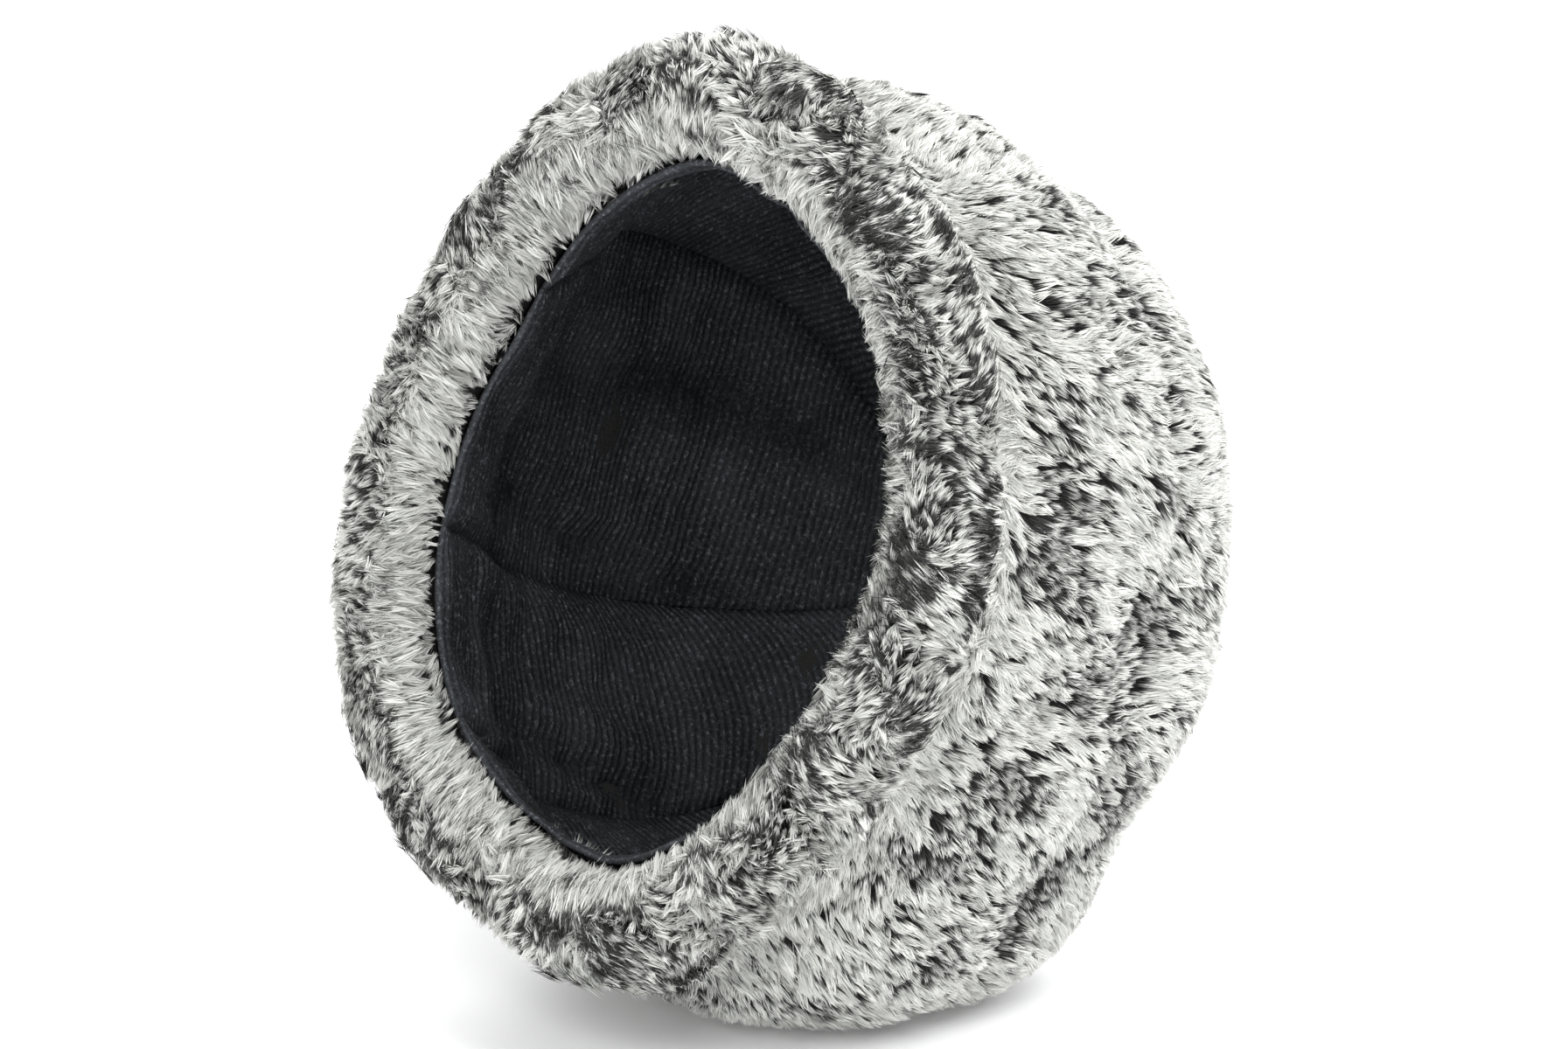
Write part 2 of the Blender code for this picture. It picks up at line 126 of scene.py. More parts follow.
class Recipe:
    """One material: its nodes, and its shader at the end."""

    def __init__(self, name, roughness):
        self.material = bpy.data.materials.new(name)
        self.material.use_nodes = True
        self.tree = self.material.node_tree
        self.shader = self.tree.nodes["Principled BSDF"]
        self.shader.inputs["Roughness"].default_value = roughness

    def add(self, kind, settings, values, output=0):
        node = self.tree.nodes.new(kind)
        for name, value in settings.items():
            setattr(node, name, value)
        for name, value in values.items():
            self.feed(node.inputs[name], value)
        return Signal(self, node.outputs[output])

    def feed(self, socket, value):
        if isinstance(value, Signal):
            self.tree.links.new(value.socket, socket)
        else:
            socket.default_value = value

    def read(self, attribute):
        """A number that each vertex of the piece carries."""
        return self.add("ShaderNodeAttribute", {"attribute_name": attribute}, {}, "Fac")

    def noise(self, scale, detail=2.0, roughness=0.5):
        place = self.add("ShaderNodeTexCoord", {}, {}, "Object")
        values = {"Vector": place, "Scale": scale, "Detail": detail, "Roughness": roughness}
        return self.add("ShaderNodeTexNoise", {}, values, "Fac")

    def mix(self, share, low, high):
        """A colour between two colours."""
        settings = {"data_type": "RGBA"}
        return self.add("ShaderNodeMix", settings, {0: share, 6: low, 7: high}, 2)

    def bump(self, height, distance, strength):
        values = {"Height": height, "Distance": distance, "Strength": strength}
        return self.add("ShaderNodeBump", {}, values, "Normal")


# %% [markdown]
# ## The fur's colour
#
# Each hair is charcoal where it grows and white where it ends. The hairs carry three numbers: how far
# along the hair a point is, where on this hair the white begins, and a tone that differs from tuft to
# tuft. The material is worked out from these alone, so it follows the hairs from every side.

# %% Fur material
ROOT_COLOUR = (0.030, 0.031, 0.029, 1.0)
TIP_COLOUR = (0.82, 0.825, 0.79, 1.0)
DULL_TIP_COLOUR = (0.42, 0.425, 0.405, 1.0)
FUR_ROUGHNESS = 0.62
FUR_SHINE = 0.25
CUFF_RAMP = 0.20                     # how much of a hair it takes to turn from dark to white
CROWN_RAMP = 0.38


def fur_material(name, ramp):
    """Fur that turns from dark to white over a share of each hair, the ramp."""
    recipe = Recipe(name, FUR_ROUGHNESS)
    along, start, tone = recipe.read("along"), recipe.read("white_from"), recipe.read("tone")
    light = recipe.mix(tone, DULL_TIP_COLOUR, TIP_COLOUR)
    white = (along - start).eased(0.0, ramp)
    recipe.feed(recipe.shader.inputs["Base Color"], recipe.mix(white, ROOT_COLOUR, light))
    recipe.shader.inputs["Specular IOR Level"].default_value = FUR_SHINE
    return recipe.material


cuff_fur = fur_material("cuff_fur", CUFF_RAMP)
crown_fur = fur_material("crown_fur", CROWN_RAMP)
print("fur materials", cuff_fur.name, crown_fur.name)

# %% [markdown]
# ## The cloth under the hairs
#
# Between the tufts one sees down to the knitted backing, which is nearly black. It is a plain rough
# cloth with a fine grain, since the hairs hide most of it.

# %% Backing material
BACKING_DARK = (0.008, 0.008, 0.008, 1.0)
BACKING_LIGHT = (0.035, 0.035, 0.033, 1.0)
BACKING_ROUGHNESS = 0.95
GRAIN_SCALE = 900.0                  # cells of the noise in a metre
GRAIN_DETAIL = 3.0
GRAIN_HEIGHT = 0.0006
GRAIN_STRENGTH = 0.6


def backing_material():
    recipe = Recipe("fur_backing", BACKING_ROUGHNESS)
    grain = recipe.noise(GRAIN_SCALE, GRAIN_DETAIL)
    recipe.feed(recipe.shader.inputs["Base Color"], recipe.mix(grain, BACKING_DARK, BACKING_LIGHT))
    recipe.feed(recipe.shader.inputs["Normal"], recipe.bump(grain, GRAIN_HEIGHT, GRAIN_STRENGTH))
    return recipe.material


backing = backing_material()
print("backing material", backing.name)

# %% [markdown]
# ## The hat's own axes
#
# The hat lies with its opening turned to -Y and 16 degrees up. Everything on it is placed along its
# own axes: its side, its upper side, and the depth from the opening towards the crown's end.

# %% Find the hat's axes in the frame
OPENING_TILT = math.radians(16)
SIDE = np.array((1.0, 0.0, 0.0))
UPPER = np.array((0.0, math.sin(OPENING_TILT), math.cos(OPENING_TILT)))
DEEP = np.array((0.0, math.cos(OPENING_TILT), -math.sin(OPENING_TILT)))
OPENING = np.array((-0.0040, -0.0720, 0.1501))       # the middle of the opening


def on_hat(side, height, depth):
    """World places from places along the hat's axes."""
    side, height, depth = (np.asarray(v, float)[..., None] for v in (side, height, depth))
    return OPENING + side * SIDE + height * UPPER + depth * DEEP


def depth_of(points):
    return (points - OPENING) @ DEEP


print("opening turned up by", round(math.degrees(OPENING_TILT)), "degrees")


# %% [markdown]
# ## Feeling the solids with rays
#
# The frame's solids have coarse locks. A real pile has thousands of hairs instead, whose tips follow
# the same form. So a net of rays feels each solid, the distances are smoothed, and the result is a
# soft skin on which hairs can be planted. A skin is a grid of places with the way each one faces.

# %% Rays, smoothing and skins
FAR = 0.40                           # past the hat's far side, from anywhere inside it
TINY = 1e-12


def tree_of(*names):
    """All the triangles of some nodes, ready to be hit by rays."""
    places, faces = [], []
    for name in names:
        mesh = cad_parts[name].data
        start = len(places)
        places += [v.co.copy() for v in mesh.vertices]
        faces += [[start + i for i in polygon.vertices] for polygon in mesh.polygons]
    return BVHTree.FromPolygons(places, faces)


def feel(tree, starts, directions, reach=FAR):
    """How far each ray goes before it hits, or nan where it misses."""
    found = np.full(starts.shape[:2], np.nan)
    for i in range(starts.shape[0]):
        for j in range(starts.shape[1]):
            hit = tree.ray_cast(Vector(starts[i, j]), Vector(directions[i, j]), reach)
            if hit[0] is not None:
                found[i, j] = hit[3]
    return found


def fill_gaps(table):
    """Gives each missing value the mean of those round it, again and again until none is missing."""
    while np.isnan(table).any():
        above = np.concatenate((table[:1], table[:-1]))
        below = np.concatenate((table[1:], table[-1:]))
        near = np.stack((above, below, np.roll(table, 1, 1), np.roll(table, -1, 1)))
        known = ~np.isnan(near)
        mean = np.where(known, near, 0.0).sum(axis=0) / np.maximum(known.sum(axis=0), 1)
        missing = np.isnan(table) & known.any(axis=0)
        table = np.where(missing, mean, table)
    return table


def blur(table, down, across, ring=True):
    """Smooths a table by repeated averaging; its columns go all the way round."""
    for _ in range(across):
        table = (np.roll(table, 1, 1) + 2 * table + np.roll(table, -1, 1)) / 4
    for _ in range(down):
        if ring:
            table = (np.roll(table, 1, 0) + 2 * table + np.roll(table, -1, 0)) / 4
        else:
            padded = np.concatenate((table[:1], table, table[-1:]))
            table = (padded[:-2] + 2 * table + padded[2:]) / 4
    return table


def soft_step(values, start, end):
    """0 before start, 1 after end, and a soft step between them."""
    share = np.clip((values - start) / (end - start), 0, 1)
    return share * share * (3 - 2 * share)


def unit(vectors):
    return vectors / np.maximum(np.linalg.norm(vectors, axis=-1, keepdims=True), TINY)


class Skin:
    """A grid of places on the hat, its normals, and its two directions: along a row, and down."""

    def __init__(self, places, inside, ring):
        self.places = places
        self.round = unit(np.roll(places, -1, 1) - np.roll(places, 1, 1))
        if ring:
            down = np.roll(places, -1, 0) - np.roll(places, 1, 0)
        else:
            down = np.gradient(places, axis=0)
        normal = unit(np.cross(self.round, down))
        turned = np.sum(normal * (places - inside), axis=-1, keepdims=True) < 0
        self.normals = np.where(turned, -normal, normal)
        self.down = unit(down)
        across = np.linalg.norm(np.roll(places, -1, 1) - places, axis=-1)
        along = np.linalg.norm(np.roll(places, -1, 0) - places, axis=-1)
        self.area = across * along
        if not ring:
            self.area[-1] = 0.0


# %% Skin of the cuff
AROUND = 360
ROLL_TURNS = 90
CUFF_MID_DEPTH = 0.0165
RAY_START = 0.05
RIM_BLUR = 60
CUFF_BLUR = (5, 8)                   # times that a table is averaged, down and across

angles = np.linspace(0, 2 * math.pi, AROUND, endpoint=False)
cuff_tree = tree_of("cuff")
level = np.full((1, AROUND), CUFF_MID_DEPTH)
outward = (np.cos(angles)[:, None] * SIDE + np.sin(angles)[:, None] * UPPER)[None]
heart = on_hat(0 * level, 0 * level, level)
inner_edge = feel(cuff_tree, heart, outward)
outer_edge = FAR - feel(cuff_tree, heart + outward * FAR, -outward)
rim = blur((inner_edge + outer_edge) / 2, 0, RIM_BLUR)
roll = blur((outer_edge - inner_edge) / 2, 0, RIM_BLUR)
print("rim radius", np.round(rim.min(), 4), np.round(rim.max(), 4), "roll", np.round(roll.mean(), 4))

turns = np.linspace(0, 2 * math.pi, ROLL_TURNS, endpoint=False)[:, None]
roll_way = np.cos(turns)[..., None] * outward - np.sin(turns)[..., None] * DEEP
roll_heart = heart + rim[..., None] * outward
roll_heart = np.broadcast_to(roll_heart, roll_way.shape)
reach = RAY_START - feel(cuff_tree, roll_heart + roll_way * RAY_START, -roll_way, RAY_START)
reach = blur(fill_gaps(reach), *CUFF_BLUR)
cuff_skin = Skin(roll_heart + roll_way * reach[..., None], roll_heart, ring=True)
print("cuff skin", cuff_skin.places.shape, "area", round(float(cuff_skin.area.sum()), 4))

# %% Skin of the crown
CROWN_HEART_DEPTH = 0.080
CROWN_HEART_DROP = 0.006
CROWN_ROWS = 150
FIRST_POLAR = math.radians(0.5)
WIDEST_POLAR = math.radians(118)
CROWN_EDGE_DEPTH = 0.0305
CROWN_BLUR = (4, 6)
WIDE_BLUR = (40, 40)
DENT_DEPTH = 0.001

crown_tree = tree_of("crown_side", "crown_top")
crown_heart = OPENING + DEEP * CROWN_HEART_DEPTH - UPPER * CROWN_HEART_DROP
polar = np.linspace(FIRST_POLAR, WIDEST_POLAR, CROWN_ROWS)[:, None]
crown_way = np.sin(polar)[..., None] * outward + np.cos(polar)[..., None] * DEEP
starts = crown_heart + crown_way * FAR
distance = FAR - feel(crown_tree, starts, -crown_way)
hits = crown_heart + crown_way * distance[..., None]
distance[depth_of(hits) < CROWN_EDGE_DEPTH] = np.nan
shown_rows = ~np.isnan(distance)
distance = blur(fill_gaps(distance), *CROWN_BLUR, ring=False)
crown_skin = Skin(crown_heart + crown_way * distance[..., None], crown_heart, ring=False)
crown_skin.area[~shown_rows] = 0.0
# hollowness: how much lower the fur lies than round it; it is used only to paint shade into the dents
hollowness = (blur(distance, *WIDE_BLUR, ring=False) - distance) / DENT_DEPTH
hollowness = np.clip(hollowness, -1.0, 2.0)              # 1 where the fur lies 1 mm lower than round it
print("crown skin", crown_skin.places.shape, "area", round(float(crown_skin.area.sum()), 4))

# %% [markdown]
# ## Hairs
#
# A hair is one slim triangle, from its hidden root to its tip, that is widest beyond its middle. Each is
# turned its own way round, so together they catch the light as a pile does. Hairs grow in tufts: those
# of one tuft share a direction and a tone, and their tips draw together. Arrays place them: first the
# tufts, spread evenly over the skin, then the hairs of each tuft, all joined into one mesh a piece.

# %% Soft random waves
Wave = namedtuple("Wave", "size length seed")
WAVE_COUNT = 9
WAVE_SPREAD = (0.6, 1.5)


def ripple(points, wave, piece=0):
    """A smooth wave over space, around 0 and mostly within its size; each piece has its own."""
    draw = np.random.default_rng(wave.seed + piece)
    ways = unit(draw.normal(size=(WAVE_COUNT, 3)))
    turns_a_metre = 2 * math.pi / wave.length * draw.uniform(*WAVE_SPREAD, WAVE_COUNT)
    phases = draw.uniform(0, 2 * math.pi, WAVE_COUNT)
    flat = points.reshape(-1, 3)
    total = np.sin((flat @ ways.T) * turns_a_metre + phases).sum(axis=1)
    return wave.size * (total * math.sqrt(2 / WAVE_COUNT)).reshape(points.shape[:-1])


# %% Tufts and hairs
Pile = namedtuple("Pile", "length lean tuft_radius hairs_per_tuft pull thickness rise uneven stray")
Hairs = namedtuple("Hairs", "roots tips normals white tone")
FLOOR_CLEARANCE = 0.0006
LATEST_WHITE = 0.64                  # how far along a hair its white may begin, at most
HAIR_STRAY = 0.45                    # how much of a tuft's stray each of its hairs adds
HAIR_UNEVEN = 0.6
LENGTH_SPREAD = (0.75, 1.15)
TONE_MIDDLE, TONE_SPREAD = 0.72, 0.28
TUFT_WHITE_SPREAD, HAIR_WHITE_SPREAD = 0.07, 0.05


def plant(skin, density, flow, white_from, pile, tufts, seed):
    """All the hairs of a skin, with where each one turns white and how bright it is."""
    draw = np.random.default_rng(seed)
    weight = (skin.area * density).ravel()
    cells = draw.choice(len(weight), size=tufts, p=weight / weight.sum())
    rows, columns = np.unravel_index(cells, skin.area.shape)
    next_rows = (rows + 1) % skin.area.shape[0]
    next_columns = (columns + 1) % skin.area.shape[1]
    down, across = draw.random((2, tufts, 1))

    def between(table):
        top = table[rows, columns] * (1 - across) + table[rows, next_columns] * across
        low = table[next_rows, columns] * (1 - across) + table[next_rows, next_columns] * across
        return top * (1 - down) + low * down

    places, normals = between(skin.places), unit(between(skin.normals))
    way = between(flow)
    start = between(white_from[..., None])[:, 0]
    one = unit(np.cross(normals, way) + 1e-9)
    two = np.cross(normals, one)

    count = pile.hairs_per_tuft
    which = np.repeat(np.arange(tufts), count)
    total = len(which)
    radius = pile.tuft_radius * np.sqrt(draw.random(total))[:, None]
    turn = draw.uniform(0, 2 * math.pi, total)[:, None]
    offset = radius * (np.cos(turn) * one[which] + np.sin(turn) * two[which])
    tuft_jitter = draw.normal(size=(tufts, 3)) * pile.stray
    hair_jitter = draw.normal(size=(total, 3)) * pile.stray * HAIR_STRAY
    lean = way[which] + tuft_jitter[which] + hair_jitter
    lean -= normals[which] * np.sum(lean * normals[which], axis=1, keepdims=True)
    direction = unit(normals[which] * math.cos(pile.lean) + lean * math.sin(pile.lean))
    tuft_height = pile.rise + draw.normal(size=tufts) * pile.uneven
    height = tuft_height[which] + draw.normal(size=total) * pile.uneven * HAIR_UNEVEN
    length = pile.length * draw.uniform(*LENGTH_SPREAD, total)[:, None]
    tips = places[which] + offset * (1 - pile.pull) + normals[which] * height[:, None]
    roots = places[which] + offset + normals[which] * height[:, None] - direction * length
    tips[:, 2] = np.maximum(tips[:, 2], FLOOR_CLEARANCE)
    roots[:, 2] = np.maximum(roots[:, 2], FLOOR_CLEARANCE)
    tone = np.clip(TONE_MIDDLE + TONE_SPREAD * draw.normal(size=tufts), 0, 1)[which]
    white = start[which] + TUFT_WHITE_SPREAD * draw.normal(size=tufts)[which]
    white = white + HAIR_WHITE_SPREAD * draw.normal(size=total)
    return Hairs(roots, tips, normals[which], np.clip(white, 0.0, LATEST_WHITE), tone)


# %% Joining hairs into a mesh
WIDEST_AT = 0.62
LARGEST_ROLL = math.radians(60)
WIDTH_SPREAD = (0.7, 1.3)
UV_ROOT, UV_SIDE, UV_TIP = (0.1, 0.04), (0.94, 0.5), (0.1, 0.96)


def hair_piece(name, hairs, thickness, material, nodes, seed):
    """Joins hairs into one mesh: each is a triangle of a root, a side and a tip."""
    draw = np.random.default_rng(seed)
    count = len(hairs.roots)
    way = unit(hairs.tips - hairs.roots)
    flat = unit(np.cross(hairs.normals, way))
    out = np.cross(way, flat)
    roll_angle = draw.uniform(-LARGEST_ROLL, LARGEST_ROLL, count)[:, None]
    across = np.cos(roll_angle) * flat + np.sin(roll_angle) * out
    left = (draw.random(count) < 0.5)[:, None]
    width = (thickness * draw.uniform(*WIDTH_SPREAD, count))[:, None]
    side = hairs.roots + (hairs.tips - hairs.roots) * WIDEST_AT + np.where(left, across, -across) * width
    second, third = np.where(left, hairs.tips, side), np.where(left, side, hairs.tips)
    places = np.stack((hairs.roots, second, third), axis=1)
    places[..., 2] = np.maximum(places[..., 2], FLOOR_CLEARANCE)
    mesh = bpy.data.meshes.new(name)
    mesh.vertices.add(count * 3)
    mesh.vertices.foreach_set("co", places.ravel())
    mesh.loops.add(count * 3)
    mesh.loops.foreach_set("vertex_index", np.arange(count * 3, dtype=np.int32))
    mesh.polygons.add(count)
    mesh.polygons.foreach_set("loop_start", np.arange(0, count * 3, 3, dtype=np.int32))
    mesh.update(calc_edges=True)
    along = np.zeros((count, 3))
    along[:, 1] = np.where(left[:, 0], 1.0, WIDEST_AT)
    along[:, 2] = np.where(left[:, 0], WIDEST_AT, 1.0)
    white, tone = np.repeat(hairs.white, 3), np.repeat(hairs.tone, 3)
    for label, values in {"along": along, "white_from": white, "tone": tone}.items():
        mesh.attributes.new(label, "FLOAT", "POINT").data.foreach_set("value", values.ravel())
    lay_out_hairs(mesh, left[:, 0])
    mesh.materials.append(material)
    piece = bpy.data.objects.new(name, mesh)
    bpy.context.scene.collection.objects.link(piece)
    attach(piece, "root")
    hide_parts(*nodes)


def lay_out_hairs(mesh, left):
    """Gives each hair a small cell of its own in a map, so that its colour can be baked."""
    count = len(left)
    cells_a_side = math.ceil(math.sqrt(count))
    column, row = np.arange(count) % cells_a_side, np.arange(count) // cells_a_side
    turned = np.array((UV_ROOT, UV_TIP, UV_SIDE))
    shape = np.where(left[:, None, None], turned, np.array((UV_ROOT, UV_SIDE, UV_TIP)))
    corner = np.stack((column, row), axis=-1)[:, None, :]
    mesh.uv_layers.new(name="OFBake").data.foreach_set("uv", ((corner + shape) / cells_a_side).ravel())


# %% [markdown]
# ## The cuff's fur
#
# On the cuff the pile stands up and opens like a brush: it points outwards at the outer edge, forwards
# on the front, and into the opening at the lip, where it makes a white fringe. Wide soft waves bend it
# to one side or the other, as a hand that brushed over it would.

# %% Plant the cuff
CUFF_PILE = Pile(length=0.0105, lean=math.radians(46), tuft_radius=0.0015, hairs_per_tuft=16,
                 pull=0.72, thickness=0.00035, rise=0.0018, uneven=0.0009, stray=0.36)
CUFF_TUFTS = 24000
FUR_TURNS = (math.radians(-84), math.radians(200))   # 0 is outwards, 90 forwards, 180 inwards
LIP_TURN = math.radians(150)         # where the white fringe is fullest
LIP_WIDTH = math.radians(27)
FAN = 0.75                           # how much the hairs lean away from the middle of the roll's front
FAN_MIDDLE = math.radians(95)
LIP_FAN = 1.6
SWAY_ROUND = 0.25
LIP_SWAY_LOSS = 0.6
FAN_WAVE = Wave(size=0.75, length=0.034, seed=11)
SWAY_WAVE = Wave(size=0.95, length=0.028, seed=12)
WIDE_PATCHES = Wave(size=0.09, length=0.030, seed=13)
SMALL_PATCHES = Wave(size=0.09, length=0.009, seed=14)
CUFF_WHITE, LIP_EARLIER = 0.56, 0.48
LIP_DENSER = 0.5
CUFF_SEED = 21


def cuff_flow():
    """Which way the cuff's hairs lean: along and round the roll, in waves."""
    skin = cuff_skin
    fan = FAN * np.sin(turns - FAN_MIDDLE) + ripple(skin.places, FAN_WAVE)
    sway = ripple(skin.places, SWAY_WAVE) + SWAY_ROUND
    fan = fan * (1 - lip) + LIP_FAN * lip
    sway = sway * (1 - LIP_SWAY_LOSS * lip)
    return skin.down * fan[..., None] + skin.round * sway[..., None]


signed_turns = (turns + math.pi / 2) % (2 * math.pi) - math.pi / 2
furred = (signed_turns > FUR_TURNS[0]) & (signed_turns < FUR_TURNS[1])
furred = np.broadcast_to(furred, cuff_skin.area.shape).astype(float)
lip = np.exp(-((signed_turns - LIP_TURN) / LIP_WIDTH) ** 2)
patches = ripple(cuff_skin.places, WIDE_PATCHES) + ripple(cuff_skin.places, SMALL_PATCHES)
cuff_white = CUFF_WHITE + patches * (1 - lip) - LIP_EARLIER * lip
thick_at_lip = furred * (1 + LIP_DENSER * lip)
hairs = plant(cuff_skin, thick_at_lip, cuff_flow(), cuff_white, CUFF_PILE, CUFF_TUFTS, CUFF_SEED)
print("cuff", len(hairs.roots), "hairs planted")

# %% Trim the fringe and share the hairs out
HAIRS_PER_PIECE = 136000
LINING_START_DEPTH = 0.0165
FRINGE_OVERLAP = 0.0012
PIECE_SEED = 100


def trimmed(hairs):
    """Leaves out the hairs whose tips would pass behind the lining's edge."""
    side, height = (hairs.tips - OPENING) @ SIDE, (hairs.tips - OPENING) @ UPPER
    column = (np.degrees(np.arctan2(height, side)) % 360 / 360 * AROUND).astype(int) % AROUND
    inside = np.hypot(side, height) < rim[0, column]
    kept = ~(inside & (depth_of(hairs.tips) > LINING_START_DEPTH + FRINGE_OVERLAP))
    return Hairs(*(values[kept] for values in hairs))


def share_out(hairs, base_name, thickness, material, nodes):
    """Splits the hairs round the hat into pieces of no more than a set number of hairs."""
    about = np.arctan2((hairs.tips - OPENING) @ UPPER, (hairs.tips - OPENING) @ SIDE)
    parts = np.array_split(np.argsort(about), math.ceil(len(about) / HAIRS_PER_PIECE))
    for number, part in enumerate(parts, 1):
        name = "%s_%d" % (base_name, number)
        some = Hairs(*(values[part] for values in hairs))
        hair_piece(name, some, thickness, material, nodes, PIECE_SEED + number)
        print(name, len(part), "hairs")


share_out(trimmed(hairs), "cuff_fur", CUFF_PILE.thickness, cuff_fur, ["cuff"])

# %% [markdown]
# ## The crown's fur
#
# The crown's pile is finer and lies flatter. It is brushed away from the cuff, towards the crown's end,
# and its own weight draws it down. Long waves part it here and there, so that darker roots show. In
# its dents the hairs turn white later, which is painted shade.

# %% Plant the crown
CROWN_PILE = Pile(length=0.0085, lean=math.radians(60), tuft_radius=0.0013, hairs_per_tuft=14,
                  pull=0.36, thickness=0.00032, rise=0.0007, uneven=0.0003, stray=0.24)
CROWN_TUFTS = 29000
CROWN_SEED = 41
FRONT_BAND_WIDTH = 0.014             # beside the cuff, where the fur is thicker and white sooner
FRONT_BAND_TURN = 1.1                # how much of their lean away from the cuff hairs lose there
FALL = np.array((0.0, 0.0, 0.40))    # how much their weight draws the hairs down
CROWN_SWAY_WAVE = Wave(size=0.35, length=0.050, seed=31)
CROWN_PART_WAVE = Wave(size=0.25, length=0.035, seed=32)
CROWN_WIDE_PATCHES = Wave(size=0.15, length=0.034, seed=33)
CROWN_SMALL_PATCHES = Wave(size=0.07, length=0.011, seed=34)
CROWN_WHITE = 0.35
# DENT_SHADE is painted shade: how much later the hairs turn white in the crown's dents
FRONT_EARLIER, DENT_SHADE = 0.22, 0.14
FRONT_DENSER = 0.8

crown_depth = depth_of(crown_skin.places)
front_band = np.exp(-((crown_depth - CROWN_EDGE_DEPTH) / FRONT_BAND_WIDTH) ** 2)


def crown_flow():
    """Which way the crown's hairs lean: away from the cuff and down, in waves."""
    skin = crown_skin
    way = DEEP * (1.0 - FRONT_BAND_TURN * front_band[..., None]) - FALL
    way = way + skin.round * ripple(skin.places, CROWN_SWAY_WAVE)[..., None]
    way = way + skin.down * ripple(skin.places, CROWN_PART_WAVE)[..., None]
    way = way - skin.normals * np.sum(way * skin.normals, axis=-1, keepdims=True)
    return unit(way)


patches = ripple(crown_skin.places, CROWN_WIDE_PATCHES) + ripple(crown_skin.places, CROWN_SMALL_PATCHES)
# painted shade: in the crown's dents the hairs turn white later, so the dents look darker
crown_white = CROWN_WHITE + patches - FRONT_EARLIER * front_band + DENT_SHADE * hollowness
thick_at_front = 1 + FRONT_DENSER * front_band
hairs = plant(crown_skin, thick_at_front, crown_flow(), crown_white, CROWN_PILE, CROWN_TUFTS, CROWN_SEED)
share_out(hairs, "crown_fur", CROWN_PILE.thickness, crown_fur, ["crown_side", "crown_top"])

# %% [markdown]
# ## The backing under the fur
#
# The cuff's backing is a thick ring: a torus is added at the cuff's mean size, and each of its
# vertices is then moved to its own place a few millimetres under the fur's skin. The crown's is a
# ball with its front cut away, wrapped in the same way and given a wall.

# %% Wrap the cuff's backing
BACKING_SINK = 0.0048
LIP_SINK = 0.0006
LIP_BACK_TURN = math.radians(178)    # where the backing comes closest to the fur's skin
LIP_BACK_WIDTH = math.radians(26)
RING_SEGMENTS, ROLL_SEGMENTS = 180, 40


def look_up(table, row, column):
    """A value between the cells of a table whose columns go all the way round."""
    row = min(max(row, 0.0), table.shape[0] - 1.001)
    r, c = int(row), int(column) % table.shape[1]
    dr, dc = row - r, column - math.floor(column)
    nr, nc = (r + 1) % table.shape[0], (c + 1) % table.shape[1]
    top = table[r, c] * (1 - dc) + table[r, nc] * dc
    low = table[nr, c] * (1 - dc) + table[nr, nc] * dc
    return top * (1 - dr) + low * dr


def deselect_all():
    bpy.ops.object.select_all(action="DESELECT")


def column_of(x, y):
    """The column of the ray nets in which a place lies, seen along the hat's depth."""
    return math.atan2(y, x) % (2 * math.pi) / (2 * math.pi) * AROUND


def dress(piece, material, nodes):
    """Gives a piece its material and its body, and hides the nodes that it stands for."""
    piece.data.materials.clear()
    piece.data.materials.append(material)
    bpy.ops.object.shade_smooth()
    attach(piece, "root")
    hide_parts(*nodes)
    print(piece.name, len(piece.data.vertices), "vertices")


deselect_all()
bpy.ops.mesh.primitive_torus_add(major_radius=float(rim.mean()), minor_radius=float(roll.mean()),
                                 major_segments=RING_SEGMENTS, minor_segments=ROLL_SEGMENTS)
cuff_backing = bpy.context.object
cuff_backing.name = "cuff_backing"
for vertex in cuff_backing.data.vertices:
    x, y, z = vertex.co
    column = column_of(x, y)
    turn = math.atan2(z, math.hypot(x, y) - float(rim.mean())) % (2 * math.pi)
    row = turn / (2 * math.pi) * ROLL_TURNS
    heart_place = look_up(roll_heart, row, column)
    skin_place = look_up(cuff_skin.places, row % ROLL_TURNS, column)
    way = skin_place - heart_place
    size = np.linalg.norm(way)
    inside = math.exp(-((turn - LIP_BACK_TURN) / LIP_BACK_WIDTH) ** 2)
    sink = BACKING_SINK + (LIP_SINK - BACKING_SINK) * inside
    vertex.co = heart_place + way * (size - sink) / size
dress(cuff_backing, backing, ["cuff"])

# %% Wrap the crown's backing
BACKING_WALL = 0.0016
BALL_SEGMENTS, BALL_RINGS = 72, 54
BALL_CUT = math.radians(116)         # the ball is cut open this far from its pole

deselect_all()
bpy.ops.mesh.primitive_uv_sphere_add(segments=BALL_SEGMENTS, ring_count=BALL_RINGS, radius=1.0)
crown_backing = bpy.context.object
crown_backing.name = "crown_backing"
bpy.ops.object.mode_set(mode="EDIT")
bpy.ops.mesh.select_all(action="SELECT")
bpy.ops.mesh.bisect(plane_co=(0, 0, math.cos(BALL_CUT)), plane_no=(0, 0, 1), clear_inner=True)
bpy.ops.object.mode_set(mode="OBJECT")
for vertex in crown_backing.data.vertices:
    x, y, z = vertex.co.normalized()
    column = column_of(x, y)
    row = (math.acos(z) - polar[0, 0]) / (polar[-1, 0] - polar[0, 0]) * (CROWN_ROWS - 1)
    place = look_up(crown_skin.places, row, column)
    normal = look_up(crown_skin.normals, row, column)
    vertex.co = place - normal * BACKING_SINK
wall = crown_backing.modifiers.new("wall", "SOLIDIFY")
wall.thickness = BACKING_WALL
wall.offset = -1.0
bpy.ops.object.mode_set(mode="EDIT")
bpy.ops.mesh.select_all(action="SELECT")
bpy.ops.mesh.normals_make_consistent(inside=False)
bpy.ops.object.mode_set(mode="OBJECT")
bpy.ops.object.modifier_apply(modifier="wall")
dress(crown_backing, backing, ["crown_side", "crown_top"])

